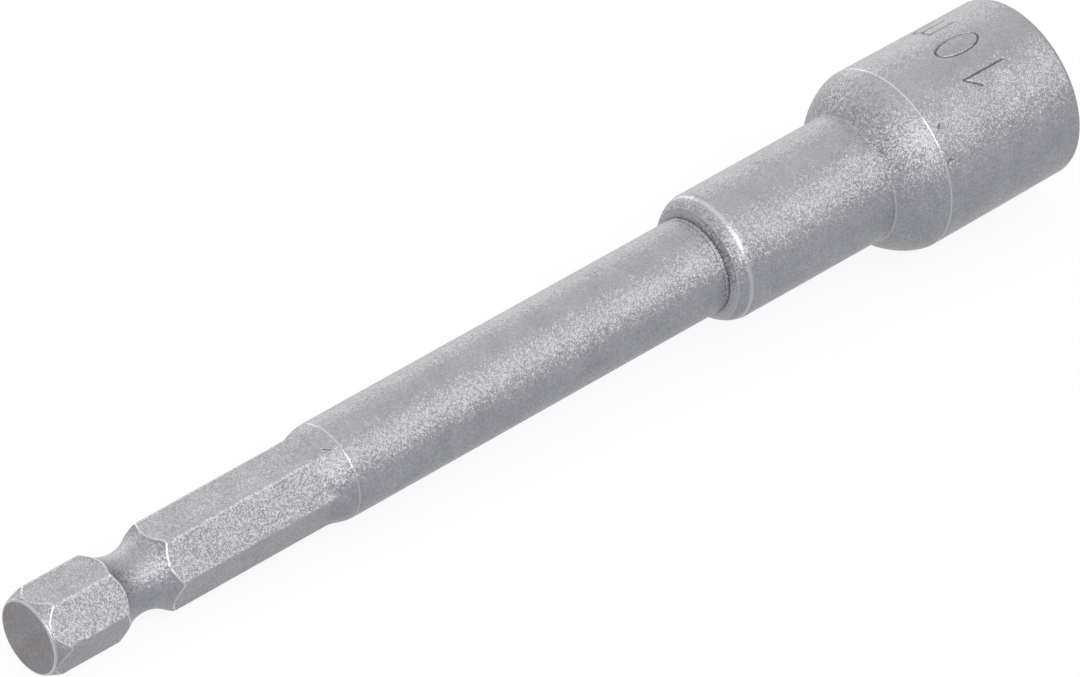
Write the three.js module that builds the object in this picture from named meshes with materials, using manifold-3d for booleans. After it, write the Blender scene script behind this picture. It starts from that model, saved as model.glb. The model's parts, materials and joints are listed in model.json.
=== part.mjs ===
// Long deep socket on a quarter-inch hex drive shank, with a spring-loaded holding magnet inside.
// Millimetres. The tool lies along +X: the shank's end face is at the origin and the socket's mouth at +X.
// Flats of both hexagons face +Z and -Z.

import * as THREE from 'three';
import { mergeVertices } from 'three/addons/utils/BufferGeometryUtils.js';
import Module from 'manifold-3d';

const wasm = await Module();
wasm.setup();

// Drive shank
const HEX_ACROSS_FLATS = 6.35;
const HEX_CORNER_RADIUS = 0.55;
const HEX_LENGTH = 28.8; // end face to the edge of the round shaft
const END_FACE_DIAMETER = 6.12;
const END_CHAMFER_ANGLE = 22.5; // degrees from the axis
const BALL_GROOVE_CENTRE = 9.4; // from the end face
const BALL_GROOVE_BOTTOM_DIAMETER = 5.0;
const BALL_GROOVE_RADIUS = 3.85;
const RUN_OUT_LENGTH = 2.7; // from hex to shaft
const RUN_OUT_START = 0.1; // inside the flats
const RUN_OUT_BULGE = 0.11; // half way along, out from a straight cone
const SHAFT_DIAMETER = 7.95;
const SHAFT_LENGTH = 37.3; // edge of the shaft to the socket's neck
const INSERT_LENGTH = 8.2; // pressed into the socket
const INSERT_CHAMFER = 0.5;

// Socket body
const PRESS_GAP = 0.03; // shaft to bore, each side
const NECK_WALL = 1.28;
const NECK_LENGTH = 16.1;
const NECK_FACE_LENGTH = 0.35; // steep cone that rises from the shaft
const NECK_FACE_RISE = 0.65;
const NECK_EDGE_LENGTH = 1.4; // rounding from the steep cone to the neck
const NECK_EDGE_BULGE = 0.12; // half way along, out from a straight cone
const SHOULDER_LENGTH = 3.8;
const SHOULDER_BULGE = 0.42; // half way along, out from a straight cone
const HEAD_LENGTH = 14.0;
const NUT_ACROSS_FLATS = 10.0;
const NUT_CLEARANCE = 0.1; // across flats
const POCKET_DEPTH = 12.0;
const HEAD_WALL = 1.77; // outside the pocket's corners, at the shoulder
const HEAD_TAPER = 0.1; // how much smaller the radius is at the mouth
const RIM_RADIUS = 0.4;
const LEAD_IN = 0.4; // how far the mouth's lead-in cone opens past the pocket's corners
const POCKET_CORNER_RADIUS = 0.2;

// Retaining ring and its groove in the bore
const RING_THICKNESS = 0.8;
const RING_WIDTH = 0.9;
const RING_REACH = 0.5; // how far it stands into the bore
const RING_PLAY = 0.1; // to its groove, each way
const RING_OPENING_ANGLE = 40; // degrees
const RING_LAND = 1.0; // bore wall between the groove and the pocket's floor

// Magnet, cup and spring
const MAGNET_THICKNESS = 3.0;
const MAGNET_CHAMFER = 0.25;
const MAGNET_RECESS = 0.1; // below the cup's rim
const MAGNET_GAP = 0.05; // glue line round the magnet
const CUP_WALL = 0.8;
const CUP_FLOOR = 1.2; // least thickness behind the magnet
const CUP_SETBACK = 0.1; // rim below the pocket's floor at rest
const CUP_EDGE_CHAMFER = 0.3;
const CUP_FLANGE_THICKNESS = 1.5;
const CUP_RING_CLEARANCE = 0.2; // cup through the ring
const CUP_BORE_CLEARANCE = 0.15; // flange in the bore
const SPIGOT_LENGTH = 1.5; // centres the spring behind the flange
const SPIGOT_CLEARANCE = 0.25;
const SEAT_GAP = 0.1; // between faces that rest on each other
const SPRING_WIRE = 0.7;
const SPRING_BORE_CLEARANCE = 0.35;
const SPRING_PITCH = 1.35; // nearest pitch, evened out over whole turns

// Faceting
const TURNED_SIDES = 48;
const EDGE_STEPS = 4;
const BULGE_STEPS = 6;
const CORNER_STEPS = 4;
const GROOVE_STEPS = 14;
const WIRE_SIDES = 6;
const STEPS_PER_TURN = 16;
const OVERCUT = 1.0; // how far a cutter runs past the face it opens

// Radii and stations along the axis
const hexApothem = HEX_ACROSS_FLATS / 2;
const hexCornerReach = hexApothem / Math.cos(Math.PI / 6);
const shaftRadius = SHAFT_DIAMETER / 2;
const boreRadius = shaftRadius + PRESS_GAP;
const neckRadius = boreRadius + NECK_WALL;
const pocketAcrossFlats = NUT_ACROSS_FLATS + NUT_CLEARANCE;
const pocketCornerReach = pocketAcrossFlats / 2 / Math.cos(Math.PI / 6);
const headRadius = pocketCornerReach + HEAD_WALL;
const mouthRadius = headRadius - HEAD_TAPER;
const leadInRadius = pocketCornerReach + LEAD_IN;

const neckRear = HEX_LENGTH + SHAFT_LENGTH;
const insertEnd = neckRear + INSERT_LENGTH;
const shoulderRear = neckRear + NECK_LENGTH;
const headRear = shoulderRear + SHOULDER_LENGTH;
const mouth = headRear + HEAD_LENGTH;
const pocketFloor = mouth - POCKET_DEPTH;

const ringInner = boreRadius - RING_REACH;
const ringOuter = ringInner + RING_WIDTH;
const ringGrooveRadius = ringOuter + RING_PLAY;
const ringGrooveFront = pocketFloor - RING_LAND;
const ringFront = ringGrooveFront - RING_PLAY;
const ringRear = ringFront - RING_THICKNESS;
const ringGrooveRear = ringRear - RING_PLAY;

const cupRadius = ringInner - CUP_RING_CLEARANCE;
const cupFlangeRadius = boreRadius - CUP_BORE_CLEARANCE;
const cupRecessRadius = cupRadius - CUP_WALL;
const magnetRadius = cupRecessRadius - MAGNET_GAP;
const cupRim = pocketFloor - CUP_SETBACK;
const magnetFront = cupRim - MAGNET_RECESS;
const magnetRear = magnetFront - MAGNET_THICKNESS;
const cupRecessFloor = magnetRear - MAGNET_GAP;
const cupFlangeFront = ringRear - SEAT_GAP;
const cupFlangeRear = Math.min(cupFlangeFront - CUP_FLANGE_THICKNESS, cupRecessFloor - CUP_FLOOR);
const springMeanRadius = boreRadius - SPRING_BORE_CLEARANCE - SPRING_WIRE / 2;
const spigotRadius = springMeanRadius - SPRING_WIRE / 2 - SPIGOT_CLEARANCE;

const radians = THREE.MathUtils.degToRad;

// Points [radius, station] of an arc in a turned profile, angles in degrees from the outward radius towards +X.
function arc(centreRadius, centreStation, radius, from, to, steps) {
  const points = [];
  for (let i = 0; i <= steps; i += 1) {
    const angle = radians(from + ((to - from) * i) / steps);
    points.push([centreRadius + radius * Math.cos(angle), centreStation + radius * Math.sin(angle)]);
  }
  return points;
}

// Points [radius, station] of a turned profile between two of them, standing out by the bulge half way along.
function bulging([fromRadius, from], [toRadius, to], bulge, steps) {
  const points = [];
  for (let i = 0; i <= steps; i += 1) {
    const share = i / steps;
    const straight = fromRadius + (toRadius - fromRadius) * share;
    points.push([straight + 4 * bulge * share * (1 - share), from + (to - from) * share]);
  }
  return points;
}

// A solid turned about the X axis from a profile of [radius, station] points.
function turned(profile) {
  const points = profile.map(([radius, station]) => new THREE.Vector2(radius, station));
  const geometry = new THREE.LatheGeometry(points, TURNED_SIDES);
  geometry.rotateZ(-Math.PI / 2);
  return geometry;
}

// A prism along X between two stations. The shape's y is +Y and its x is -Z. Each of its arcs has arcSteps sides.
function prism(shape, from, to, arcSteps) {
  const curveSegments = arcSteps / 2;
  const geometry = new THREE.ExtrudeGeometry(shape, { depth: to - from, bevelEnabled: false, curveSegments });
  geometry.rotateY(Math.PI / 2);
  geometry.translate(from, 0, 0);
  return geometry;
}

// A hexagon with rounded corners and two flats square to the shape's x axis.
function hexagon(acrossFlats, cornerRadius) {
  const shape = new THREE.Shape();
  const halfCorner = Math.PI / 6;
  const centreReach = (acrossFlats / 2 - cornerRadius) / Math.cos(halfCorner);
  for (let corner = 0; corner < 6; corner += 1) {
    const angle = halfCorner * (1 + 2 * corner);
    const x = centreReach * Math.cos(angle);
    const y = centreReach * Math.sin(angle);
    shape.absarc(x, y, cornerRadius, angle - halfCorner, angle + halfCorner, false);
  }
  shape.closePath();
  return shape;
}

// A closed three.js geometry as a solid that can be joined and cut.
function solid(geometry) {
  const bare = geometry.clone();
  bare.deleteAttribute('normal');
  bare.deleteAttribute('uv');
  const merged = mergeVertices(bare, 1e-5);
  const index = merged.index.array;
  const triangles = [];
  for (let i = 0; i < index.length; i += 3) {
    const [a, b, c] = index.subarray(i, i + 3);
    if (a !== b && b !== c && c !== a) {
      triangles.push(a, b, c);
    }
  }
  const vertProperties = new Float32Array(merged.attributes.position.array);
  const triVerts = new Uint32Array(triangles);
  return new wasm.Manifold(new wasm.Mesh({ numProp: 3, vertProperties, triVerts }));
}

function geometryOf(body) {
  const { vertProperties, triVerts } = body.getMesh();
  const geometry = new THREE.BufferGeometry();
  geometry.setAttribute('position', new THREE.BufferAttribute(new Float32Array(vertProperties), 3));
  geometry.setIndex(new THREE.BufferAttribute(new Uint32Array(triVerts), 1));
  geometry.computeVertexNormals();
  return geometry;
}

function piece(name, body, color, roughness, metalness) {
  const material = new THREE.MeshStandardMaterial({ color, roughness, metalness });
  const mesh = new THREE.Mesh(geometryOf(body), material);
  mesh.name = name;
  return mesh;
}

// Shank: a rounded hexagon inside a turned envelope that carries the tip's chamfer and the ball groove,
// joined to the round shaft by the bulging run-out.
function driveShank() {
  const endRadius = END_FACE_DIAMETER / 2;
  const envelopeRadius = hexCornerReach + OVERCUT;
  const chamferEnd = (envelopeRadius - endRadius) / Math.tan(radians(END_CHAMFER_ANGLE));
  const grooveCentreRadius = BALL_GROOVE_BOTTOM_DIAMETER / 2 + BALL_GROOVE_RADIUS;
  const grooveCutterRadius = grooveCentreRadius + OVERCUT;
  const envelope = turned([
    [0, 0],
    [endRadius, 0],
    [envelopeRadius, chamferEnd],
    [envelopeRadius, HEX_LENGTH],
    [0, HEX_LENGTH],
  ]);
  const groove = turned([
    [grooveCentreRadius, BALL_GROOVE_CENTRE - BALL_GROOVE_RADIUS],
    [grooveCutterRadius, BALL_GROOVE_CENTRE - BALL_GROOVE_RADIUS],
    [grooveCutterRadius, BALL_GROOVE_CENTRE + BALL_GROOVE_RADIUS],
    ...arc(grooveCentreRadius, BALL_GROOVE_CENTRE, BALL_GROOVE_RADIUS, 90, 270, GROOVE_STEPS),
  ]);
  const hex = prism(hexagon(HEX_ACROSS_FLATS, HEX_CORNER_RADIUS), -OVERCUT, HEX_LENGTH, CORNER_STEPS);
  const runOutRear = HEX_LENGTH - RUN_OUT_LENGTH;
  const runOutStart = [hexApothem - RUN_OUT_START, runOutRear];
  const shaft = turned([
    [0, runOutRear],
    ...bulging(runOutStart, [shaftRadius, HEX_LENGTH], RUN_OUT_BULGE, BULGE_STEPS),
    [shaftRadius, insertEnd - INSERT_CHAMFER],
    [shaftRadius - INSERT_CHAMFER, insertEnd],
    [0, insertEnd],
  ]);
  const body = solid(hex).intersect(solid(envelope)).subtract(solid(groove)).add(solid(shaft));
  return piece('drive_shank', body, 0xa6a7ab, 0.5, 0.9);
}

// Socket: a turned sleeve with the neck's rounded end, the shoulder and the head outside and the ring's groove
// inside, opened at the mouth by the hex pocket and its lead-in cone.
function socketBody() {
  const faceEdge = [boreRadius + NECK_FACE_RISE, neckRear + NECK_FACE_LENGTH];
  const neckEdge = [neckRadius, neckRear + NECK_FACE_LENGTH + NECK_EDGE_LENGTH];
  const sleeve = turned([
    [boreRadius, neckRear],
    ...bulging(faceEdge, neckEdge, NECK_EDGE_BULGE, BULGE_STEPS),
    ...bulging([neckRadius, shoulderRear], [headRadius, headRear], SHOULDER_BULGE, BULGE_STEPS),
    ...arc(mouthRadius - RIM_RADIUS, mouth - RIM_RADIUS, RIM_RADIUS, 0, 90, EDGE_STEPS),
    [boreRadius, mouth],
    [boreRadius, ringGrooveFront],
    [ringGrooveRadius, ringGrooveFront],
    [ringGrooveRadius, ringGrooveRear],
    [boreRadius, ringGrooveRear],
    [boreRadius, neckRear],
  ]);
  const pocketShape = hexagon(pocketAcrossFlats, POCKET_CORNER_RADIUS);
  const pocket = prism(pocketShape, pocketFloor, mouth + OVERCUT, CORNER_STEPS);
  const leadIn = turned([
    [0, mouth - leadInRadius],
    [leadInRadius + OVERCUT, mouth + OVERCUT],
    [0, mouth + OVERCUT],
  ]);
  const body = solid(sleeve).subtract(solid(pocket)).subtract(solid(leadIn));
  return piece('socket_body', body, 0xa6a7ab, 0.5, 0.9);
}

// Ring: an open flat ring that springs outwards into its groove.
function retainingRing() {
  const half = radians(RING_OPENING_ANGLE / 2);
  const shape = new THREE.Shape();
  shape.absarc(0, 0, ringOuter, half, 2 * Math.PI - half, false);
  shape.absarc(0, 0, ringInner, 2 * Math.PI - half, half, true);
  shape.closePath();
  return piece('retaining_ring', solid(prism(shape, ringRear, ringFront, TURNED_SIDES)), 0x4b4c50, 0.45, 0.9);
}

// Cup: spigot for the spring, flange behind the ring, and the nose that holds the magnet.
function magnetCup() {
  const body = turned([
    [0, cupFlangeRear - SPIGOT_LENGTH],
    [spigotRadius - CUP_EDGE_CHAMFER, cupFlangeRear - SPIGOT_LENGTH],
    [spigotRadius, cupFlangeRear - SPIGOT_LENGTH + CUP_EDGE_CHAMFER],
    [spigotRadius, cupFlangeRear],
    [cupFlangeRadius, cupFlangeRear],
    [cupFlangeRadius, cupFlangeFront],
    [cupRadius, cupFlangeFront],
    [cupRadius, cupRim - CUP_EDGE_CHAMFER],
    [cupRadius - CUP_EDGE_CHAMFER, cupRim],
    [cupRecessRadius, cupRim],
    [cupRecessRadius, cupRecessFloor],
    [0, cupRecessFloor],
  ]);
  return piece('magnet_cup', solid(body), 0xb9b6ad, 0.4, 0.95);
}

function magnetDisc() {
  const body = turned([
    [0, magnetRear],
    [magnetRadius - MAGNET_CHAMFER, magnetRear],
    [magnetRadius, magnetRear + MAGNET_CHAMFER],
    [magnetRadius, magnetFront - MAGNET_CHAMFER],
    [magnetRadius - MAGNET_CHAMFER, magnetFront],
    [0, magnetFront],
  ]);
  return piece('magnet', solid(body), 0xc9c8c5, 0.25, 1.0);
}

// Spring: one unbroken wire wound between the shank's pressed-in end and the cup's flange.
function magnetSpring() {
  const from = insertEnd + SEAT_GAP + SPRING_WIRE / 2;
  const to = cupFlangeRear - SEAT_GAP - SPRING_WIRE / 2;
  const turns = Math.max(1, Math.floor((to - from) / SPRING_PITCH));
  const steps = turns * STEPS_PER_TURN;
  const centres = [];
  const positions = [];
  for (let i = 0; i <= steps; i += 1) {
    const angle = (2 * Math.PI * i) / STEPS_PER_TURN;
    const outward = new THREE.Vector3(0, Math.cos(angle), Math.sin(angle));
    const around = new THREE.Vector3(0, -Math.sin(angle), Math.cos(angle)).multiplyScalar(springMeanRadius);
    const along = new THREE.Vector3((to - from) / (2 * Math.PI * turns), 0, 0).add(around).normalize();
    const across = new THREE.Vector3().crossVectors(along, outward);
    const centre = outward.clone().multiplyScalar(springMeanRadius);
    centre.x = from + ((to - from) * i) / steps;
    centres.push(centre);
    for (let side = 0; side < WIRE_SIDES; side += 1) {
      const turn = (2 * Math.PI * side) / WIRE_SIDES;
      const point = centre.clone();
      point.addScaledVector(outward, (SPRING_WIRE / 2) * Math.cos(turn));
      point.addScaledVector(across, (SPRING_WIRE / 2) * Math.sin(turn));
      positions.push(point.x, point.y, point.z);
    }
  }
  const index = [];
  for (let i = 0; i < steps; i += 1) {
    for (let side = 0; side < WIRE_SIDES; side += 1) {
      const next = (side + 1) % WIRE_SIDES;
      const a = i * WIRE_SIDES + side;
      const b = i * WIRE_SIDES + next;
      index.push(a, b, a + WIRE_SIDES, b, b + WIRE_SIDES, a + WIRE_SIDES);
    }
  }
  const last = steps * WIRE_SIDES;
  for (let side = 1; side < WIRE_SIDES - 1; side += 1) {
    index.push(0, side + 1, side);
    index.push(last, last + side, last + side + 1);
  }
  const geometry = new THREE.BufferGeometry();
  geometry.setAttribute('position', new THREE.Float32BufferAttribute(positions, 3));
  geometry.setIndex(index);
  console.log('spring turns', turns, 'least gap to itself', leastGap(centres).toFixed(2), 'mm');
  return piece('magnet_spring', solid(geometry), 0x8f9196, 0.35, 1.0);
}

// Least clear distance between stretches of the wire that are at least half a turn apart.
function leastGap(centres) {
  let least = Infinity;
  for (let i = 0; i < centres.length; i += 1) {
    for (let j = i + STEPS_PER_TURN / 2; j < centres.length; j += 1) {
      least = Math.min(least, centres[i].distanceTo(centres[j]) - SPRING_WIRE);
    }
  }
  return least;
}

const deepSocket = new THREE.Group();
deepSocket.add(driveShank());
deepSocket.add(socketBody());
deepSocket.add(retainingRing());
deepSocket.add(magnetCup());
deepSocket.add(magnetDisc());
deepSocket.add(magnetSpring());

export default deepSocket;
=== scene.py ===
import json
import math

import bpy
import numpy as np
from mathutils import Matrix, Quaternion, Vector


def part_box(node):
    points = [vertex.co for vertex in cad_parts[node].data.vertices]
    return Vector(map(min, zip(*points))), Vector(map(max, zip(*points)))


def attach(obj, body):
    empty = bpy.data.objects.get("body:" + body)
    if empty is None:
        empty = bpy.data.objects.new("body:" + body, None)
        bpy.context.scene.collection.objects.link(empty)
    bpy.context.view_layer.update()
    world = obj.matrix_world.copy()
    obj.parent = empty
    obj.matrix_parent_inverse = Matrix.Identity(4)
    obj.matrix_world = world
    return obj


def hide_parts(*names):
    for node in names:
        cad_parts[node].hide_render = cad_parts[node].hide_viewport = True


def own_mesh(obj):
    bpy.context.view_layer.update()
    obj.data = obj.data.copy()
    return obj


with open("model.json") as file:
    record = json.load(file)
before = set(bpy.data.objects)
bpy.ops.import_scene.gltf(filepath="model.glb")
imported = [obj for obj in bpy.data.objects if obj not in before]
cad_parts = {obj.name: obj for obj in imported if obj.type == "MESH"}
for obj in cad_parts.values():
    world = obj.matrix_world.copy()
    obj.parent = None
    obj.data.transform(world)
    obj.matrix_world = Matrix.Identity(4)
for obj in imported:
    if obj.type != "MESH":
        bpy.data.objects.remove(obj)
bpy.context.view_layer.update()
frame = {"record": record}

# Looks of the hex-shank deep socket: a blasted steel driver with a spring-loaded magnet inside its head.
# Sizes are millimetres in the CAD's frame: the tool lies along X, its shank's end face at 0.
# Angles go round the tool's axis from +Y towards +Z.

MM = 0.001


def span(node):
    """Lowest and highest corner of a CAD node."""
    low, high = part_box(node)
    return low / MM, high / MM


def height_of(mount):
    """How far a mount lies above the tool's axis."""
    return next(m["pos_m"][2] for m in frame["record"]["mounts"] if m["name"] == mount) / MM


# Drive shank
SHANK_HIGH = span("drive_shank")[1]
SHAFT_RADIUS = SHANK_HIGH.y
INSERT_END = SHANK_HIGH.x
INSERT_CHAMFER = 0.5
FACE_CENTRE = 0.3  # the end faces' innermost loop of points
HEX_APOTHEM = height_of("drive_flat_top")
HEX_CORNER_RADIUS = 0.55
END_FACE_RADIUS = 3.06
END_EDGE_RADIUS = 0.22
END_CHAMFER_SLOPE = math.tan(math.radians(22.5))
BALL_GROOVE_CENTRE = 9.4
BALL_GROOVE_BOTTOM = 2.5
BALL_GROOVE_RADIUS = 3.85
SHAFT_EDGE = 28.8
RUN_OUT_LENGTH = 2.7
RUN_OUT_START = 0.1
RUN_OUT_BULGE = 0.11
CHAMFER_EDGE = 0.035  # widths over which edges and hollows are rounded
CRISP_EDGE = 0.07
SOFT_HOLLOW = 0.18
TURNED_LINE = (65.8, 0.08, 0.022)  # station, half width and depth of the fine line before the neck
# A scratch on the run-out: two ends of a stroke as (station, degrees round), half its width and its depth
RUN_OUT_SCRATCH = ((27.58, 114.9), (28.03, 121.6), 0.08, 0.04)

# Socket body
SOCKET_LOW, SOCKET_HIGH = span("socket_body")
NECK_REAR = SOCKET_LOW.x
MOUTH = SOCKET_HIGH.x
HEAD_RADIUS = SOCKET_HIGH.y
PRESS_GAP = 0.03
BORE_RADIUS = SHAFT_RADIUS + PRESS_GAP
SEAM_LIP = 0.06
SEAM_GAP = 0.008
NECK_WALL = 1.28
NECK_RADIUS = BORE_RADIUS + NECK_WALL
NECK_FACE_LENGTH = 0.35
NECK_FACE_RISE = 0.65
NECK_EDGE_LENGTH = 1.4
NECK_EDGE_BULGE = 0.12
NECK_FACE_ROUNDING = 0.3
NECK_LENGTH = 16.1
SHOULDER_REAR = NECK_REAR + NECK_LENGTH
SHOULDER_LENGTH = 3.8
SHOULDER_BULGE = 0.42
SHOULDER_ROUNDING = 0.15
HEAD_REAR = SHOULDER_REAR + SHOULDER_LENGTH
HEAD_ROUNDING = 0.4
HEAD_TAPER = 0.1
RIM_RADIUS = 0.4
POCKET_APOTHEM = height_of("nut_flat_top")
POCKET_CORNER_RADIUS = 0.2
POCKET_DEPTH = 12.0
POCKET_FLOOR = MOUTH - POCKET_DEPTH
LEAD_IN = 0.4
LEAD_IN_RADIUS = POCKET_APOTHEM / math.cos(math.pi / 6) + LEAD_IN
LEAD_IN_EDGE = 0.08
BORE_CHAMFER = 0.12

# Retaining ring and its groove
RING_LOW, RING_HIGH = span("retaining_ring")
RING_WIDTH = 0.9
RING_PLAY = 0.1
RING_OPENING = math.radians(40)
RING_EDGE_RADIUS = 0.12

# Magnet, its cup and the spring
CUP_LOW, CUP_HIGH = span("magnet_cup")
SEAT_GAP = 0.1
CUP_RING_CLEARANCE = 0.2
CUP_NOSE_RADIUS = RING_HIGH.y - RING_WIDTH - CUP_RING_CLEARANCE
CUP_WALL = 0.8
CUP_FLANGE_FRONT = RING_LOW.x - SEAT_GAP
SPIGOT_LENGTH = 1.5
CUP_FLANGE_REAR = CUP_LOW.x + SPIGOT_LENGTH
CUP_EDGE_RADIUS = 0.15
CUP_CORNER_RADIUS = 0.05
CUP_MOUTH_RADIUS = 0.06
DISC_CENTRE = 0.1  # the innermost loop of points of the cup and the magnet
MAGNET_LOW, MAGNET_HIGH = span("magnet")
MAGNET_EDGE_RADIUS = 0.25
GLUE_GAP = 0.05
SPRING_WIRE = 0.7
SPRING_BORE_CLEARANCE = 0.35
SPRING_RADIUS = BORE_RADIUS - SPRING_BORE_CLEARANCE - SPRING_WIRE / 2
SPRING_TURNS = 6
SPIGOT_CLEARANCE = 0.25
SPIGOT_RADIUS = SPRING_RADIUS - SPRING_WIRE / 2 - SPIGOT_CLEARANCE

# Rings rubbed smooth by use, and painted lighter there as a highlight: station, half width and how sharp an
# edge they look like, per millimetre. The one below nought is the seam, painted darker as shade in the
# crease between shaft and neck.
SHANK_RUBS_AND_SHEEN = ((SHAFT_EDGE, 0.1, 6.5),)
SOCKET_RUBS_SHEEN_AND_SHADE = ((NECK_REAR, 0.06, -14.0), (NECK_REAR + 0.22, 0.16, 4.5), (NECK_REAR + 1.25, 0.22, 6.5),
               (SHOULDER_REAR + 0.05, 0.09, 6.5), (HEAD_REAR, 0.085, 7.5))
STRUCK_SHADE = 14.0  # a struck mark is shaded like a hollow this sharp
# On the hexagon its sharpness is raised, so its edges get more painted highlight and its hollows more painted
# shade.
CHUCK_RUB_SHEEN_AND_SHADE = 2.2  # the hexagon's edges, rubbed by the chuck, count this many times as sharp

# Size mark on the head: strokes in millimetres, right and up as it is read, its foot towards the mouth.
# Its reach runs from left of its first stroke to right of its last.
MARK_FOOT = 95.4
MARK_ANGLE = math.radians(122.8)
MARK_HEIGHT = 4.2
MARK_STROKE = 0.23
MARK_DEPTH = 0.11
MARK_REACH = (-2.0, 14.0)

# Knocks behind the mark: two ends of a stroke as (station, degrees round), half its width and its depth
HEAD_NICKS = (
    ((86.35, 161.6), (86.65, 160.2), 0.14, 0.1),
    ((86.55, 160.7), (86.8, 161.4), 0.1, 0.09),
    ((86.8, 140.2), (87.0, 139.2), 0.12, 0.1),
)

# Mesh steps along the tool: by an edge or a mark, and on a plain stretch
FINE_STEP = 0.05
PLAIN_STEP = 0.5
EDGE_MARGIN = 0.5


def stations(*stretches):
    """Places along a line from stretches of (from, to, step), each end shared with the next one's start."""
    places = []
    for start, end, step in stretches:
        places.append(np.linspace(start, end, max(1, round(abs(end - start) / step)), endpoint=False))
    return np.append(np.concatenate(places), stretches[-1][1])


def soft_min(a, b, width):
    """The smaller of two heights, with the edge where they cross rounded over about this width."""
    share = np.clip(0.5 + 0.5 * (b - a) / width, 0, 1)
    return b + (a - b) * share - width * share * (1 - share)


def soft_max(a, b, width):
    """The larger of two heights, with the hollow where they cross rounded over about this width."""
    return -soft_min(-a, -b, width)


def rounded(corners, arc_steps=6):
    """Points of a profile through corners of (station, radius, rounding), each rounded corner as an arc."""
    points = [np.array(corners[0][:2], float)]
    for before, here, after in zip(corners, corners[1:], corners[2:]):
        corner = np.array(here[:2], float)
        back = np.array(before[:2]) - corner
        on = np.array(after[:2]) - corner
        back /= np.linalg.norm(back)
        on /= np.linalg.norm(on)
        half = math.acos(np.clip(back @ on, -1, 1)) / 2
        if here[2] == 0:
            points.append(corner)
            continue
        centre = corner + (back + on) / np.linalg.norm(back + on) * here[2] / math.sin(half)
        first = corner + back * here[2] / math.tan(half) - centre
        last = corner + on * here[2] / math.tan(half) - centre
        turn = math.pi - 2 * half
        for share in np.linspace(0, 1, arc_steps + 1):
            mix = math.sin((1 - share) * turn) * first + math.sin(share * turn) * last
            points.append(centre + mix / math.sin(turn))
    points.append(np.array(corners[-1][:2], float))
    return np.array(points)


def bulging(start, end, bulge, steps=14):
    """Corners of a profile between two others, standing out by the bulge half way."""
    shares = np.linspace(0, 1, steps + 1)[1:-1, None]
    points = np.array(start) + (np.array(end) - np.array(start)) * shares
    points[:, 1:] += 4 * bulge * shares * (1 - shares)
    return [(station, radius, 0) for station, radius in points]


def divided(points, step):
    """The same profile with its long stretches divided."""
    filled = [points[:1]]
    for a, b in zip(points, points[1:]):
        count = max(1, math.ceil(np.linalg.norm(b - a) / step))
        filled.append(a + (b - a) * np.linspace(0, 1, count + 1)[1:, None])
    return np.concatenate(filled)


def hexagon(angles, apothem, corner_radius):
    """Distance from the axis to a hexagon with rounded corners and two flats square to Z."""
    off_corner = np.abs((angles + math.pi / 6) % (math.pi / 3) - math.pi / 6)
    centre = (apothem - corner_radius) / math.cos(math.pi / 6)
    arc_end = math.atan2(corner_radius / 2, centre + corner_radius * math.cos(math.pi / 6))
    on_arc = np.sqrt(np.maximum(corner_radius**2 - (centre * np.sin(off_corner)) ** 2, 0))
    on_arc += centre * np.cos(off_corner)
    on_flat = apothem / np.cos(math.pi / 6 - off_corner)
    return np.where(off_corner < arc_end, on_arc, on_flat)


def round_the_axis(along, radii, angles):
    """Loops of points round the axis: one row for each station, one column for each angle."""
    along = np.broadcast_to(np.reshape(along, (len(along), -1)), radii.shape)
    return np.stack([along, radii * np.cos(angles), radii * np.sin(angles)], axis=-1)


def bend_of(loops, axis, joined):
    """How a grid of points bends along one of its ways, per millimetre, and the way itself."""
    before = np.roll(loops, 1, axis)
    after = np.roll(loops, -1, axis)
    if not joined:
        ends = [slice(None)] * 3
        ends[axis] = 0
        before[tuple(ends)] = loops[tuple(ends)]
        ends[axis] = -1
        after[tuple(ends)] = loops[tuple(ends)]
    step_in = loops - before
    step_out = after - loops
    length_in = np.maximum(np.linalg.norm(step_in, axis=-1, keepdims=True), 1e-6)
    length_out = np.maximum(np.linalg.norm(step_out, axis=-1, keepdims=True), 1e-6)
    return (step_out / length_out - step_in / length_in) * 2 / (length_in + length_out), step_in + step_out


def sharpness_of(loops, joined):
    """How sharp the surface is at each point, convex edges above 0 and hollows below, per millimetre."""
    bend_along, way_along = bend_of(loops, 0, joined)
    bend_round, way_round = bend_of(loops, 1, True)
    normal = np.cross(way_round, way_along)
    normal /= np.maximum(np.linalg.norm(normal, axis=-1, keepdims=True), 1e-9)
    return -np.sum((bend_along + bend_round) * normal, axis=-1)


def rub_sheen_and_shade_at(along, rubs):
    """What rubbing adds at these stations of a turned surface: smoothness and a painted highlight, or painted
    shade where below nought.
    """
    return sum(sharp * np.exp(-((along - place) / half_width) ** 2) for place, half_width, sharp in rubs)


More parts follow.
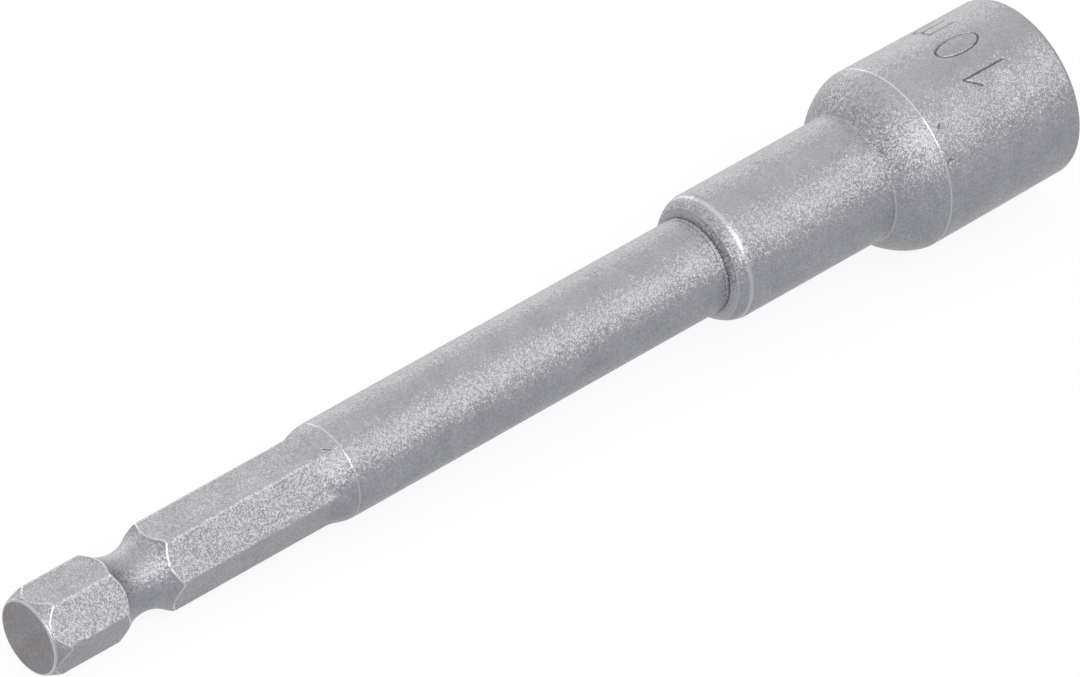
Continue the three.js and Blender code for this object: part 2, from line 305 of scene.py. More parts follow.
def loft(name, loops, body, node, material, joined=False, turned=None, wear_sheen_and_shade=None):
    """A closed mesh piece through loops of points, with its ends capped or joined to each other."""
    rows, columns = loops.shape[:2]
    index = np.arange(rows * columns).reshape(rows, columns)
    if joined:
        index = np.vstack([index, index[:1]])
    beside = np.roll(index, -1, axis=1)
    faces = np.stack([index[:-1], beside[:-1], beside[1:], index[1:]], axis=-1).reshape(-1, 4).tolist()
    points = loops.reshape(-1, 3)
    wear_sheen_and_shade = (sharpness_of(loops, joined) if wear_sheen_and_shade is None else wear_sheen_and_shade).ravel()
    turned = np.zeros((rows, columns)) if turned is None else np.broadcast_to(turned, (rows, columns))
    turned = turned.ravel()
    if not joined:
        first, last = len(points), len(points) + 1
        points = np.vstack([points, loops[0].mean(axis=0), loops[-1].mean(axis=0)])
        wear_sheen_and_shade = np.append(wear_sheen_and_shade, [0, 0])
        turned = np.append(turned, [turned[0], turned[-1]])
        faces += [(first, b, a) for a, b in zip(index[0].tolist(), beside[0].tolist())]
        faces += [(last, a, b) for a, b in zip(index[-1].tolist(), beside[-1].tolist())]
    mesh = bpy.data.meshes.new(name)
    mesh.from_pydata((points * MM).tolist(), [], faces)
    mesh.shade_smooth()
    # The first attribute holds sharpness and rubbing, which drive a painted highlight on edges and painted
    # shade in hollows; the second marks the end face.
    for label, values in (("wear_sheen_and_shade", wear_sheen_and_shade), ("turned", turned)):
        mesh.attributes.new(label, "FLOAT", "POINT").data.foreach_set("value", values.astype(np.float32))
    mesh.materials.append(material)
    piece = bpy.data.objects.new(name, mesh)
    bpy.context.scene.collection.objects.link(piece)
    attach(piece, body)
    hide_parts(node)
    return piece


def linear(code):
    """An sRGB hex colour as Blender's linear colour."""
    channels = [int(code[i:i + 2], 16) / 255 for i in (1, 3, 5)]
    return tuple(c / 12.92 if c <= 0.04045 else ((c + 0.055) / 1.055) ** 2.4 for c in channels) + (1.0,)


def add(tree, kind, settings=None, inputs=None):
    """Adds a node. Settings are its properties; inputs are values, or the sockets that feed them."""
    node = tree.nodes.new(kind)
    for name, value in (settings or {}).items():
        setattr(node, name, value)
    for name, value in (inputs or {}).items():
        if isinstance(value, bpy.types.NodeSocket):
            tree.links.new(value, node.inputs[name])
        else:
            node.inputs[name].default_value = value
    return node


def new_material(name):
    material = bpy.data.materials.new(name)
    material.use_nodes = True
    material.node_tree.nodes.clear()
    return material, material.node_tree


def per_mm(size):
    """Texture scale, in the metres of object coordinates, for a pattern of this size in millimetres."""
    return 1 / (size * MM)


# Alloy steel, blasted with fine beads and thinly nickel plated: a cool satin grey whose tiny dents sparkle
# where the light strikes square, rubbed smooth on its edges. Its edges also get a painted highlight, a
# lighter colour, and its grooves, creases and struck marks get painted shade, a darker grey.
# Real dents are about 0.05 mm, too fine to show, so they are drawn at twice that. Each leans its own way,
# and less where it is rubbed.
BLAST_DENT = 0.1
BLAST_LEAN = 0.5
BLAST_MOTTLE = 2.6
BLAST_CLOUD = 0.25
RUBBED_LEAN = 0.15
RUBBED_ROUGHNESS = 0.24
# Sharpness, per millimetre, from which edges are rubbed and painted lighter as a highlight, or hollows are
# painted darker as shade, and at which they are so fully
RUBBED_EDGE_SHEEN = (2.0, 10.0)
HOLLOW_SHADE_RANGE = (-4.0, -14.0)


def bead_blasted_nickel_steel():
    material, tree = new_material("bead_blasted_nickel_steel")
    place = add(tree, "ShaderNodeTexCoord").outputs["Object"]
    dents = add(tree, "ShaderNodeTexVoronoi", None, {"Vector": place, "Scale": per_mm(BLAST_DENT)})
    lean = add(tree, "ShaderNodeVectorMath", {"operation": "SUBTRACT"},
               {0: dents.outputs["Color"], 1: (0.5, 0.5, 0.5)})
    wear_sheen_and_shade = add(tree, "ShaderNodeAttribute", {"attribute_name": "wear_sheen_and_shade"}).outputs["Fac"]
    edge = add(tree, "ShaderNodeMapRange", {"interpolation_type": "SMOOTHSTEP"},
               {"Value": wear_sheen_and_shade, "From Min": RUBBED_EDGE_SHEEN[0], "From Max": RUBBED_EDGE_SHEEN[1]}).outputs["Result"]
    dented = add(tree, "ShaderNodeMapRange", None,
                 {"Value": edge, "To Min": BLAST_LEAN, "To Max": RUBBED_LEAN})
    leaning = add(tree, "ShaderNodeVectorMath", {"operation": "MULTIPLY_ADD"},
                  {0: lean.outputs[0], 1: dented.outputs["Result"],
                   2: add(tree, "ShaderNodeNewGeometry").outputs["Normal"]})
    facets = add(tree, "ShaderNodeVectorMath", {"operation": "NORMALIZE"}, {0: leaning.outputs[0]})
    mottle = add(tree, "ShaderNodeTexNoise", {"noise_dimensions": "3D"},
                 {"Vector": place, "Scale": per_mm(BLAST_MOTTLE), "Detail": 3.0, "Roughness": 0.6})
    turned = add(tree, "ShaderNodeAttribute", {"attribute_name": "turned"}).outputs["Fac"]
    hollow = add(tree, "ShaderNodeMapRange", {"interpolation_type": "SMOOTHSTEP"},
                 {"Value": wear_sheen_and_shade, "From Min": HOLLOW_SHADE_RANGE[0], "From Max": HOLLOW_SHADE_RANGE[1]}).outputs["Result"]
    cloud = add(tree, "ShaderNodeTexNoise", None,
                {"Vector": place, "Scale": per_mm(BLAST_CLOUD), "Detail": 1.0})
    shade = add(tree, "ShaderNodeMapRange", None,
                {"Value": cloud.outputs["Fac"], "From Min": 0.3, "From Max": 0.7,
                 "To Min": 0.94, "To Max": 1.06})
    chance = add(tree, "ShaderNodeSeparateColor", None, {"Color": dents.outputs["Color"]})
    grain = add(tree, "ShaderNodeMapRange", None,
                {"Value": chance.outputs["Red"], "To Min": 0.86, "To Max": 1.14})
    value = add(tree, "ShaderNodeMath", {"operation": "MULTIPLY"},
                {0: shade.outputs["Result"], 1: grain.outputs["Result"]})
    patches = add(tree, "ShaderNodeValToRGB", None, {"Fac": mottle.outputs["Fac"]})
    patches.color_ramp.elements[0].position = 0.35
    patches.color_ramp.elements[0].color = linear("#8D8E94")
    patches.color_ramp.elements[1].position = 0.68
    patches.color_ramp.elements[1].color = linear("#97989E")
    clouded = add(tree, "ShaderNodeHueSaturation", None,
                  {"Color": patches.outputs["Color"], "Value": value.outputs[0]})
    stain = add(tree, "ShaderNodeValToRGB", None, {"Fac": mottle.outputs["Fac"]})
    stain.color_ramp.elements[0].position = 0.38
    stain.color_ramp.elements[0].color = linear("#F4F4F4")
    stain.color_ramp.elements[1].position = 0.62
    stain.color_ramp.elements[1].color = linear("#E6D8D3")
    stained = add(tree, "ShaderNodeMix", {"data_type": "RGBA", "blend_type": "MULTIPLY"},
                  {0: turned, 6: clouded.outputs["Color"], 7: stain.outputs["Color"]})
    # Painted shade: hollows, creases, the seam, struck marks and knocks are darkened towards a dark grey.
    hollow_shaded = add(tree, "ShaderNodeMix", {"data_type": "RGBA"},
                 {0: hollow, 6: stained.outputs[2], 7: linear("#5C5D61")})
    # Painted highlight: sharp and rubbed edges are lightened towards a pale grey.
    colour = add(tree, "ShaderNodeMix", {"data_type": "RGBA"},
                 {0: edge, 6: hollow_shaded.outputs[2], 7: linear("#B6B7BB")})
    rough = add(tree, "ShaderNodeMapRange", None,
                {"Value": mottle.outputs["Fac"], "From Min": 0.3, "From Max": 0.7,
                 "To Min": 0.38, "To Max": 0.42})
    smoothed = add(tree, "ShaderNodeMix", {"data_type": "FLOAT"},
                   {0: edge, 2: rough.outputs["Result"], 3: RUBBED_ROUGHNESS})
    steel = add(tree, "ShaderNodeBsdfPrincipled", None,
                {"Base Color": colour.outputs[2], "Metallic": 1.0, "Roughness": smoothed.outputs[0],
                 "Normal": facets.outputs[0]})
    add(tree, "ShaderNodeOutputMaterial", None, {"Surface": steel.outputs["BSDF"]})
    return material


# Spring steel with a phosphate coat: dark grey, matt and slightly crystalline. The crystals are finer than
# can show and are drawn coarser.
PHOSPHATE_CRYSTAL = 0.06


def phosphated_spring_steel():
    material, tree = new_material("phosphated_spring_steel")
    place = add(tree, "ShaderNodeTexCoord").outputs["Object"]
    crystal = add(tree, "ShaderNodeTexNoise", None,
                  {"Vector": place, "Scale": per_mm(PHOSPHATE_CRYSTAL), "Detail": 2.0})
    colour = add(tree, "ShaderNodeValToRGB", None, {"Fac": crystal.outputs["Fac"]})
    colour.color_ramp.elements[0].color = linear("#37383B")
    colour.color_ramp.elements[1].color = linear("#55565A")
    bump = add(tree, "ShaderNodeBump", None,
               {"Strength": 1.0, "Distance": 0.004 * MM, "Height": crystal.outputs["Fac"]})
    coat = add(tree, "ShaderNodeBsdfPrincipled", None,
               {"Base Color": colour.outputs["Color"], "Metallic": 0.8, "Roughness": 0.5,
                "Normal": bump.outputs["Normal"]})
    add(tree, "ShaderNodeOutputMaterial", None, {"Surface": coat.outputs["BSDF"]})
    return material


# Mild steel, turned and zinc plated: pale, faintly yellow and satin, with fine rings from the tool.
# Real rings are about 0.1 mm apart, too fine to show, and are drawn wider.
CUP_TOOL_RING = 0.5
CUP_CLOUD = 0.9
WAVE_RATE = 20 / (2 * math.pi)  # rings of Blender's wave for each unit of its scale


def turned_zinc_plated_steel():
    material, tree = new_material("turned_zinc_plated_steel")
    place = add(tree, "ShaderNodeTexCoord").outputs["Object"]
    rings = add(tree, "ShaderNodeTexWave",
                {"wave_type": "RINGS", "rings_direction": "X", "wave_profile": "SIN"},
                {"Vector": place, "Scale": per_mm(CUP_TOOL_RING) / WAVE_RATE,
                 "Distortion": 0.4, "Detail": 1.0})
    cloud = add(tree, "ShaderNodeTexNoise", None,
                {"Vector": place, "Scale": per_mm(CUP_CLOUD), "Detail": 2.0})
    colour = add(tree, "ShaderNodeValToRGB", None, {"Fac": cloud.outputs["Fac"]})
    colour.color_ramp.elements[0].color = linear("#B1AEA6")
    colour.color_ramp.elements[1].color = linear("#C9C6BE")
    bump = add(tree, "ShaderNodeBump", None,
               {"Strength": 0.6, "Distance": 0.004 * MM, "Height": rings.outputs["Fac"]})
    zinc = add(tree, "ShaderNodeBsdfPrincipled", None,
               {"Base Color": colour.outputs["Color"], "Metallic": 1.0, "Roughness": 0.34,
                "Normal": bump.outputs["Normal"]})
    add(tree, "ShaderNodeOutputMaterial", None, {"Surface": zinc.outputs["BSDF"]})
    return material


# Sintered magnet under bright nickel: a mirror with a faint orange-peel wave and rub marks.
NICKEL_WAVE = 0.35
NICKEL_RUB = 0.05


def bright_nickel_plating():
    material, tree = new_material("bright_nickel_plating")
    place = add(tree, "ShaderNodeTexCoord").outputs["Object"]
    wave = add(tree, "ShaderNodeTexNoise", None,
               {"Vector": place, "Scale": per_mm(NICKEL_WAVE), "Detail": 1.0})
    rub = add(tree, "ShaderNodeTexNoise", None, {"Vector": place, "Scale": per_mm(NICKEL_RUB), "Detail": 3.0})
    rough = add(tree, "ShaderNodeMapRange", None,
                {"Value": rub.outputs["Fac"], "From Min": 0.4, "From Max": 0.7,
                 "To Min": 0.14, "To Max": 0.28})
    bump = add(tree, "ShaderNodeBump", None,
               {"Strength": 0.5, "Distance": 0.004 * MM, "Height": wave.outputs["Fac"]})
    nickel = add(tree, "ShaderNodeBsdfPrincipled", None,
                 {"Base Color": linear("#C9C8C4"), "Metallic": 1.0, "Roughness": rough.outputs["Result"],
                  "Normal": bump.outputs["Normal"]})
    add(tree, "ShaderNodeOutputMaterial", None, {"Surface": nickel.outputs["BSDF"]})
    return material


# Drawn spring wire: a smooth grey steel with fine streaks from the die.
WIRE_STREAK = 0.05


def drawn_spring_wire():
    material, tree = new_material("drawn_spring_wire")
    place = add(tree, "ShaderNodeTexCoord").outputs["Object"]
    streak = add(tree, "ShaderNodeTexNoise", None,
                 {"Vector": place, "Scale": per_mm(WIRE_STREAK), "Detail": 2.0})
    colour = add(tree, "ShaderNodeValToRGB", None, {"Fac": streak.outputs["Fac"]})
    colour.color_ramp.elements[0].color = linear("#84868B")
    colour.color_ramp.elements[1].color = linear("#9C9EA2")
    wire = add(tree, "ShaderNodeBsdfPrincipled", None,
               {"Base Color": colour.outputs["Color"], "Metallic": 1.0, "Roughness": 0.32})
    add(tree, "ShaderNodeOutputMaterial", None, {"Surface": wire.outputs["BSDF"]})
    return material


def scratch(along, angles, radius, start, end, half_width, depth):
    """Depth of a scratch between two places of (station, degrees round), on a surface of this radius."""
    line = [(station, math.radians(round_at) * radius) for station, round_at in (start, end)]
    along, across = np.broadcast_arrays(along[:, None], angles[None, :] * radius)
    return depth * np.clip(1 - (stroke_distance(along, across, line) / half_width) ** 2, 0, 1)


def stroke_distance(across, up, line):
    """Distance from points of a flat surface to a line of straight stretches."""
    nearest = np.full(across.shape, np.inf)
    for (ax, ay), (bx, by) in zip(line, line[1:]):
        share = ((across - ax) * (bx - ax) + (up - ay) * (by - ay)) / ((bx - ax) ** 2 + (by - ay) ** 2)
        share = np.clip(share, 0, 1)
        nearest = np.minimum(nearest, np.hypot(across - ax - share * (bx - ax), up - ay - share * (by - ay)))
    return nearest


# Shank: rounded hexagon cut by the tip's chamfer and the ball groove, run out to the round shaft.
def drive_shank(material):
    angles = np.radians(np.arange(0, 360, 0.5))
    tip_end = 2.0
    groove_start, groove_end = BALL_GROOVE_CENTRE - 3.1, BALL_GROOVE_CENTRE + 3.0
    run_out_start, run_out_end = SHAFT_EDGE - 3.2, SHAFT_EDGE + 0.2
    seam_start, seam_end = NECK_REAR - 0.5, NECK_REAR + 0.4
    body = stations((0.0, tip_end, 0.04), (tip_end, groove_start, 0.3), (groove_start, groove_end, 0.05),
                    (groove_end, run_out_start, 0.4), (run_out_start, run_out_end, 0.04),
                    (run_out_end, seam_start, 0.9), (seam_start, seam_end, 0.03),
                    (seam_end, INSERT_END - INSERT_CHAMFER, 1.0))
    edge = rounded([(0, FACE_CENTRE, 0), (0, END_FACE_RADIUS, END_EDGE_RADIUS),
                    (1.0, END_FACE_RADIUS + END_CHAMFER_SLOPE, 0)])[:-1]
    face = divided(edge[:2], 0.4)
    after_edge = body[body > edge[-1, 0] + 0.02]
    cone = np.stack([after_edge, END_FACE_RADIUS + END_CHAMFER_SLOPE * after_edge], axis=-1)
    along, envelope = np.concatenate([face[:-1], edge[1:], cone]).T
    off_groove = np.clip(np.abs(along - BALL_GROOVE_CENTRE), 0, BALL_GROOVE_RADIUS)
    groove = BALL_GROOVE_BOTTOM + BALL_GROOVE_RADIUS - np.sqrt(BALL_GROOVE_RADIUS**2 - off_groove**2)
    run_out_share = np.clip(1 + (along - SHAFT_EDGE) / RUN_OUT_LENGTH, -1, 1.4)
    run_out = HEX_APOTHEM - RUN_OUT_START + 4 * RUN_OUT_BULGE * run_out_share * (1 - run_out_share)
    run_out += (SHAFT_RADIUS - HEX_APOTHEM + RUN_OUT_START) * run_out_share
    line_place, line_width, line_depth = TURNED_LINE
    turned_line = line_depth * np.exp(-((along - line_place) / line_width) ** 2)

    hexed = hexagon(angles, HEX_APOTHEM, HEX_CORNER_RADIUS)[None, :]
    radii = soft_min(hexed, envelope[:, None], CHAMFER_EDGE)
    radii = soft_min(radii, groove[:, None], CRISP_EDGE)
    shaft = soft_min(run_out, SHAFT_RADIUS + 0 * along, CRISP_EDGE) - turned_line
    blended = soft_max(radii, shaft[:, None], SOFT_HOLLOW)
    radii = np.where(along[:, None] < SHAFT_EDGE - 2 * RUN_OUT_LENGTH, radii, blended)
    radii = np.where(along[:, None] > SHAFT_EDGE + EDGE_MARGIN, shaft[:, None], radii)
    end = np.array([(INSERT_END, SHAFT_RADIUS - INSERT_CHAMFER), (INSERT_END, FACE_CENTRE)])
    along = np.append(along, end[:, 0])
    radii = np.vstack([radii, np.repeat(end[:, 1:], len(angles), axis=1)])
    on_end_face = along < 0.02
    turned = on_end_face[:, None] * 1.0
    cut = scratch(along, angles, SHAFT_RADIUS, *RUN_OUT_SCRATCH)
    # Sharpness drives a painted highlight on edges and painted shade in hollows; the scratch is painted
    # darker as shade.
    wear_sheen_and_shade = sharpness_of(round_the_axis(along, radii, angles), False) + rub_sheen_and_shade_at(along, SHANK_RUBS_AND_SHEEN)[:, None]
    wear_sheen_and_shade[along < SHAFT_EDGE - RUN_OUT_LENGTH] *= CHUCK_RUB_SHEEN_AND_SHADE
    wear_sheen_and_shade -= STRUCK_SHADE * cut / cut.max()
    loops = round_the_axis(along, radii - cut, angles)
    return loft("drive_shank_blasted", loops, "driver", "drive_shank", material,
                turned=turned, wear_sheen_and_shade=wear_sheen_and_shade)


def size_mark():
    """Strokes of the nut's size, 10 mm, as lines of points from the foot of its first stroke."""
    rounds = np.linspace(0, 2 * math.pi, 41)
    half = MARK_HEIGHT / 2
    flag_width, flag_drop = 1.1, 1.2
    one = np.array([(-flag_width, MARK_HEIGHT - flag_drop), (0, MARK_HEIGHT), (0, 0)])
    nought_place, nought_half = 3.1, 0.95
    nought_across = nought_place + nought_half * np.sin(rounds)
    nought = np.stack([nought_across, half + half * np.cos(rounds)], axis=-1)
    strokes = [one, nought]
    arch_width, x_height = 1.15, 2.5
    bow = np.linspace(math.pi, 0, 13)
    letter_places = (5.8, 9.2)
    for left in letter_places:
        strokes.append(np.array([(left, 0), (left, x_height)]))
        for arch in range(2):
            centre = left + arch_width * (arch + 0.5)
            top = x_height - arch_width / 2
            curve = np.stack([np.cos(bow), np.sin(bow)], axis=-1) * arch_width / 2 + (centre, top)
            strokes.append(np.vstack([curve, (centre + arch_width / 2, 0)]))
    return strokes


# Socket: one turned sleeve, outside and inside, with the hex pocket and the size mark struck into its head.
def socket_body(material):
    mark_first, mark_last = 20.0, 170.0
    angles = np.radians(np.concatenate([np.arange(mark_first, mark_last, 0.4),
                                        np.arange(mark_last, mark_first + 360, 1.0)]))
    head_slope = HEAD_TAPER / (MOUTH - HEAD_REAR)
    face_edge = (NECK_REAR + NECK_FACE_LENGTH, BORE_RADIUS + NECK_FACE_RISE)
    neck_edge = (NECK_REAR + NECK_FACE_LENGTH + NECK_EDGE_LENGTH, NECK_RADIUS)
    plain_from = neck_edge[0] + EDGE_MARGIN
    plain_to = SHOULDER_REAR - EDGE_MARGIN
    outer = rounded([
        (NECK_REAR, SHAFT_RADIUS + SEAM_GAP, 0),
        (*face_edge, NECK_FACE_ROUNDING),
        *bulging(face_edge, neck_edge, NECK_EDGE_BULGE),
        (*neck_edge, 0),
        (plain_from, NECK_RADIUS, 0),
        (plain_to, NECK_RADIUS, 0),
        (SHOULDER_REAR, NECK_RADIUS, SHOULDER_ROUNDING),
        *bulging((SHOULDER_REAR, NECK_RADIUS), (HEAD_REAR, HEAD_RADIUS), SHOULDER_BULGE),
        (HEAD_REAR, HEAD_RADIUS, HEAD_ROUNDING),
        (MOUTH, HEAD_RADIUS - HEAD_TAPER, RIM_RADIUS),
        (MOUTH, LEAD_IN_RADIUS, 0),
    ], arc_steps=8)
    neck_end = divided(outer[outer[:, 0] < plain_from + 0.01], FINE_STEP)
    neck = divided(np.array([neck_end[-1], (plain_to, NECK_RADIUS)]), PLAIN_STEP)
    shoulder = divided(outer[(outer[:, 0] > plain_to - 0.01) & (outer[:, 0] < HEAD_REAR + 0.06)], FINE_STEP)
    knocks_end = HEAD_REAR + 1.2
    mark_start, mark_end = MARK_FOOT - MARK_HEIGHT - 0.2, MARK_FOOT + 0.3
    head_rows = stations((HEAD_REAR + 0.1, knocks_end, FINE_STEP), (knocks_end, mark_start, PLAIN_STEP),
                         (mark_start, mark_end, FINE_STEP), (mark_end, MOUTH - RIM_RADIUS - 0.1, PLAIN_STEP))
    head = np.stack([head_rows, HEAD_RADIUS - head_slope * (head_rows - HEAD_REAR)], axis=-1)
    rim = divided(outer[outer[:, 0] > MOUTH - RIM_RADIUS - 0.05], 0.3)
    outside = np.concatenate([neck_end[:-1], neck[:-1], shoulder, head, rim])
    radii_outside = np.repeat(outside[:, 1:], len(angles), axis=1)

    across = -(angles - MARK_ANGLE)[None, :] * HEAD_RADIUS
    up = (MARK_FOOT - outside[:, 0])[:, None]
    across, up = np.broadcast_arrays(across, up)
    near = (np.abs(up - MARK_HEIGHT / 2) < MARK_HEIGHT) & (across > MARK_REACH[0]) & (across < MARK_REACH[1])
    depth = np.zeros(across.shape)
    for line in size_mark():
        cut = np.clip(1 - (stroke_distance(across[near], up[near], line) / (MARK_STROKE / 2)) ** 2, 0, 1)
        depth[near] = np.maximum(depth[near], MARK_DEPTH * cut)
    for nick in HEAD_NICKS:
        depth = np.maximum(depth, scratch(outside[:, 0], angles, HEAD_RADIUS, *nick))

    lead_in_end = MOUTH - 1.5
    inside_rows = stations((MOUTH - 0.03, lead_in_end, FINE_STEP), (lead_in_end, POCKET_FLOOR + 0.1, 1.0),
                           (POCKET_FLOOR + 0.1, POCKET_FLOOR, 0.1))
    pocket = hexagon(angles, POCKET_APOTHEM, POCKET_CORNER_RADIUS)[None, :]
    lead_in = (LEAD_IN_RADIUS - (MOUTH - inside_rows))[:, None]
    radii_inside = soft_max(np.broadcast_to(pocket, (len(inside_rows), len(angles))), lead_in, LEAD_IN_EDGE)

    floor_shares = np.array([0.03, 0.5, 0.97, 1.0])[:, None]
    radii_floor = pocket + (BORE_RADIUS + BORE_CHAMFER - pocket) * floor_shares
    groove_front = RING_HIGH.x + RING_PLAY
    groove_rear = RING_LOW.x - RING_PLAY
    groove_radius = RING_HIGH.y + RING_PLAY
    bore = divided(np.array([
        (POCKET_FLOOR - BORE_CHAMFER, BORE_RADIUS),
        (groove_front, BORE_RADIUS),
        (groove_front, groove_radius),
        (groove_rear, groove_radius),
        (groove_rear, BORE_RADIUS),
        (NECK_REAR + SEAM_LIP, BORE_RADIUS),
    ]), 2.0)
    along = np.concatenate([outside[:, 0], inside_rows, np.full(len(floor_shares), POCKET_FLOOR), bore[:, 0]])
    radii_bore = np.repeat(bore[:, 1:], len(angles), axis=1)
    radii = np.vstack([radii_outside, radii_inside, radii_floor, radii_bore])
    # Sharpness drives a painted highlight on edges and painted shade in hollows; the seam, the size mark and
    # the knocks are painted darker as shade.
    wear_sheen_and_shade = sharpness_of(round_the_axis(along, radii, angles), True)
    wear_sheen_and_shade[:len(outside)] += rub_sheen_and_shade_at(outside[:, 0], SOCKET_RUBS_SHEEN_AND_SHADE)[:, None] - STRUCK_SHADE * depth / MARK_DEPTH
    radii[:len(outside)] -= depth
    loops = round_the_axis(along, radii, angles)
    return loft("socket_body_blasted", loops, "driver", "socket_body", material,
                joined=True, wear_sheen_and_shade=wear_sheen_and_shade)


# Ring: a flat section with rounded edges, sprung open into its groove.
def retaining_ring(material):
    inner = RING_HIGH.y - RING_WIDTH
    middle = (RING_LOW.x + RING_HIGH.x) / 2
    section = rounded([
        (middle, inner, 0),
        (RING_LOW.x, inner, RING_EDGE_RADIUS),
        (RING_LOW.x, RING_HIGH.y, RING_EDGE_RADIUS),
        (RING_HIGH.x, RING_HIGH.y, RING_EDGE_RADIUS),
        (RING_HIGH.x, inner, RING_EDGE_RADIUS),
        (middle, inner, 0),
    ], arc_steps=4)[:-1]
    opening = -math.pi / 2
    turns = np.linspace(opening + RING_OPENING / 2, opening + 2 * math.pi - RING_OPENING / 2, 121)[:, None]
    along = np.broadcast_to(section[:, 0], (len(turns), len(section)))
    loops = np.stack([along, section[:, 1] * np.cos(turns), section[:, 1] * np.sin(turns)], axis=-1)
    return loft("retaining_ring_sprung", loops, "driver", "retaining_ring", material)


def turned_piece(name, corners, body, node, material):
    """A piece turned from a profile that starts and ends close to the axis."""
    angles = np.radians(np.arange(0, 360, 2.0))
    along, radii = divided(rounded(corners), 0.4).T
    loops = round_the_axis(along, np.repeat(radii[:, None], len(angles), axis=1), angles)
    return loft(name, loops, body, node, material)


# Cup: spigot for the spring, flange behind the ring, and the nose that holds the magnet.
def magnet_cup(material):
    recess = CUP_NOSE_RADIUS - CUP_WALL
    recess_floor = MAGNET_LOW.x - GLUE_GAP
    return turned_piece("magnet_cup_turned", [
        (CUP_LOW.x, DISC_CENTRE, 0),
        (CUP_LOW.x, SPIGOT_RADIUS, CUP_EDGE_RADIUS),
        (CUP_FLANGE_REAR, SPIGOT_RADIUS, CUP_CORNER_RADIUS),
        (CUP_FLANGE_REAR, CUP_HIGH.y, CUP_EDGE_RADIUS),
        (CUP_FLANGE_FRONT, CUP_HIGH.y, CUP_EDGE_RADIUS),
        (CUP_FLANGE_FRONT, CUP_NOSE_RADIUS, CUP_CORNER_RADIUS),
        (CUP_HIGH.x, CUP_NOSE_RADIUS, CUP_EDGE_RADIUS),
        (CUP_HIGH.x, recess, CUP_MOUTH_RADIUS),
        (recess_floor, recess, CUP_CORNER_RADIUS),
        (recess_floor, DISC_CENTRE, 0),
    ], "magnet_carrier", "magnet_cup", material)


def magnet_disc(material):
    return turned_piece("magnet_disc_plated", [
        (MAGNET_LOW.x, DISC_CENTRE, 0),
        (MAGNET_LOW.x, MAGNET_HIGH.y, MAGNET_EDGE_RADIUS),
        (MAGNET_HIGH.x, MAGNET_HIGH.y, MAGNET_EDGE_RADIUS),
        (MAGNET_HIGH.x, DISC_CENTRE, 0),
    ], "magnet_carrier", "magnet", material)


# Spring: one wire wound between the shank's pressed-in end and the cup's flange, its end turns wound close.
def magnet_spring(material):
    start = INSERT_END + SEAT_GAP + SPRING_WIRE / 2
    end = CUP_FLANGE_REAR - SEAT_GAP - SPRING_WIRE / 2
    turns = np.linspace(0, SPRING_TURNS, SPRING_TURNS * 40 + 1)
    close_pitch = SPRING_WIRE * 1.06
    open_pitch = (end - start - 2 * close_pitch) / (SPRING_TURNS - 2)
    along = start + np.interp(turns, [0, 1, SPRING_TURNS - 1, SPRING_TURNS],
                              [0, close_pitch, close_pitch + (SPRING_TURNS - 2) * open_pitch, end - start])
    angle = 2 * math.pi * turns
    outward = np.stack([0 * angle, np.cos(angle), np.sin(angle)], axis=-1)
    centre = outward * SPRING_RADIUS + np.stack([along, 0 * along, 0 * along], axis=-1)
    way = np.gradient(centre, axis=0)
    way /= np.linalg.norm(way, axis=-1, keepdims=True)
    across = np.cross(way, outward)
    section = np.linspace(0, 2 * math.pi, 16, endpoint=False)[None, :, None]
    wire_round = np.cos(section) * outward[:, None] + np.sin(section) * across[:, None]
    loops = centre[:, None] + SPRING_WIRE / 2 * wire_round
    spring = loft("magnet_spring_wound", loops, "driver", "magnet_spring", material)
    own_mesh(spring)
    return spring


blasted_steel = bead_blasted_nickel_steel()
drive_shank(blasted_steel)
socket_body(blasted_steel)
retaining_ring(phosphated_spring_steel())
magnet_cup(turned_zinc_plated_steel())
magnet_disc(bright_nickel_plating())
magnet_spring(drawn_spring_wire())


# Pale floor that the tip and the head's rear edge touch. Seen straight or in the metal it is close to white,
# and it keeps a soft shadow under the tool.
FLOOR_SIZE = 4.0
FLOOR_WHITE_SHARE = 0.9
FLOOR_TIP = (1.0, -HEX_APOTHEM)
FLOOR_HEAD = (HEAD_REAR, -HEAD_RADIUS)


def white_when_seen(tree):
    """1 for a camera, mirror or glass ray, 0 for the light that falls on things."""
    path = add(tree, "ShaderNodeLightPath")
    straight = add(tree, "ShaderNodeMath", {"operation": "MAXIMUM"},
                   {0: path.outputs["Is Camera Ray"], 1: path.outputs["Is Glossy Ray"]})
    seen = add(tree, "ShaderNodeMath", {"operation": "MAXIMUM"},
               {0: straight.outputs[0], 1: path.outputs["Is Transmission Ray"]})
    return seen.outputs[0]


def studio_floor():
    material, tree = new_material("pale_matt_floor")
    matt = add(tree, "ShaderNodeBsdfDiffuse", None, {"Color": linear("#F2F2F2")})
    white = add(tree, "ShaderNodeEmission", None, {"Color": linear("#FFFFFF"), "Strength": 1.0})
    share = add(tree, "ShaderNodeMath", {"operation": "MULTIPLY"},
                {0: white_when_seen(tree), 1: FLOOR_WHITE_SHARE})
    mixed = add(tree, "ShaderNodeMixShader", None,
                {0: share.outputs[0], 1: matt.outputs["BSDF"], 2: white.outputs["Emission"]})
    add(tree, "ShaderNodeOutputMaterial", None, {"Surface": mixed.outputs["Shader"]})
    half = FLOOR_SIZE / 2
    mesh = bpy.data.meshes.new("floor")
    corners = [(-half, -half, 0), (half, -half, 0), (half, half, 0), (-half, half, 0)]
    mesh.from_pydata(corners, [], [(0, 1, 2, 3)])
    mesh.materials.append(material)
    floor = bpy.data.objects.new("floor", mesh)
    bpy.context.scene.collection.objects.link(floor)
    floor.location = (FLOOR_TIP[0] * MM, 0, FLOOR_TIP[1] * MM)
    floor.rotation_euler = (0, math.atan2(FLOOR_TIP[1] - FLOOR_HEAD[1], FLOOR_HEAD[0] - FLOOR_TIP[0]), 0)


studio_floor()

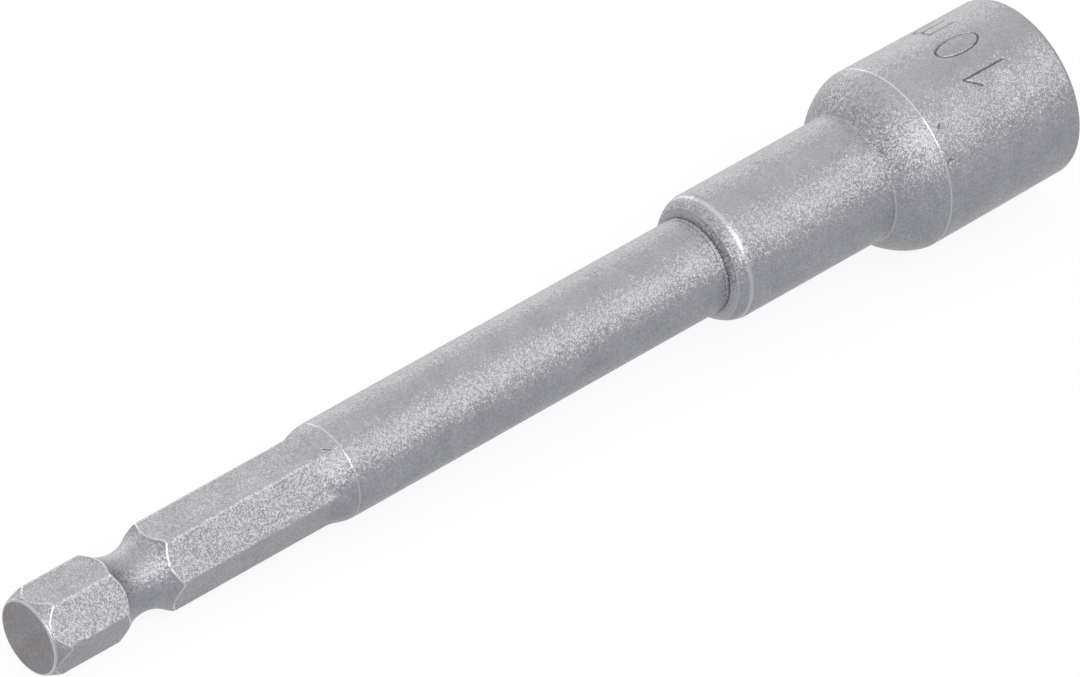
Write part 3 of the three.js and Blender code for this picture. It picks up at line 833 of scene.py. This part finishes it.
# Soft studio light: a white room and softboxes. Each is given by its angle round the tool's axis, its place
# and its length along the tool and its width across, in metres, its radiance and its colour.
ROOM_LIGHT = 0.6
LIGHT_DISTANCE = 1.0
SOFTBOXES = {
    "key_strip": (142.0, 0.0, 1.9, 0.7, 2.2, "#FFFDFA"),
    "overhead_softbox": (78.0, 0.3, 1.7, 1.3, 0.55, "#FFFDFA"),
    "back_softbox": (16.0, 0.6, 1.2, 0.6, 1.3, "#FFFDFA"),
}


def studio_light():
    world = bpy.data.worlds.new("white_room")
    bpy.context.scene.world = world
    world.use_nodes = True
    tree = world.node_tree
    tree.nodes.clear()
    strength = add(tree, "ShaderNodeMapRange", None,
                   {"Value": white_when_seen(tree), "To Min": ROOM_LIGHT, "To Max": 1.0})
    room = add(tree, "ShaderNodeBackground", None,
               {"Color": linear("#FFFDFA"), "Strength": strength.outputs["Result"]})
    add(tree, "ShaderNodeOutputWorld", None, {"Surface": room.outputs["Background"]})
    for name, (angle, along, length, width, radiance, colour) in SOFTBOXES.items():
        lamp = bpy.data.lights.new(name, "AREA")
        lamp.shape = "RECTANGLE"
        lamp.size = length
        lamp.size_y = width
        lamp.energy = radiance * math.pi * length * width
        lamp.color = linear(colour)[:3]
        box = bpy.data.objects.new(name, lamp)
        bpy.context.scene.collection.objects.link(box)
        turn = math.radians(angle)
        box.location = (along, LIGHT_DISTANCE * math.cos(turn), LIGHT_DISTANCE * math.sin(turn))
        box.rotation_euler = (turn - math.pi / 2, 0, 0)


studio_light()

# Camera, as the photograph was taken
CAMERA_PLACE = (-387.98, -553.09, 453.81)
CAMERA_AIM = (50.89, 0.55, 0.66)
CAMERA_ROLL = math.radians(-6.03)
CAMERA_LENS = 370.3


def photograph_camera():
    data = bpy.data.cameras.new("camera")
    data.sensor_fit = "HORIZONTAL"
    data.sensor_width = 36.0
    data.lens = CAMERA_LENS
    data.clip_start = 0.01
    data.clip_end = 20.0
    camera = bpy.data.objects.new("camera", data)
    bpy.context.scene.collection.objects.link(camera)
    camera.location = Vector(CAMERA_PLACE) * MM
    camera.rotation_mode = "QUATERNION"
    way = (Vector(CAMERA_AIM) - Vector(CAMERA_PLACE)).normalized()
    camera.rotation_quaternion = way.to_track_quat("-Z", "Y") @ Quaternion((0, 0, 1), CAMERA_ROLL)
    bpy.context.scene.camera = camera


photograph_camera()
bpy.context.scene.view_settings.view_transform = "Standard"
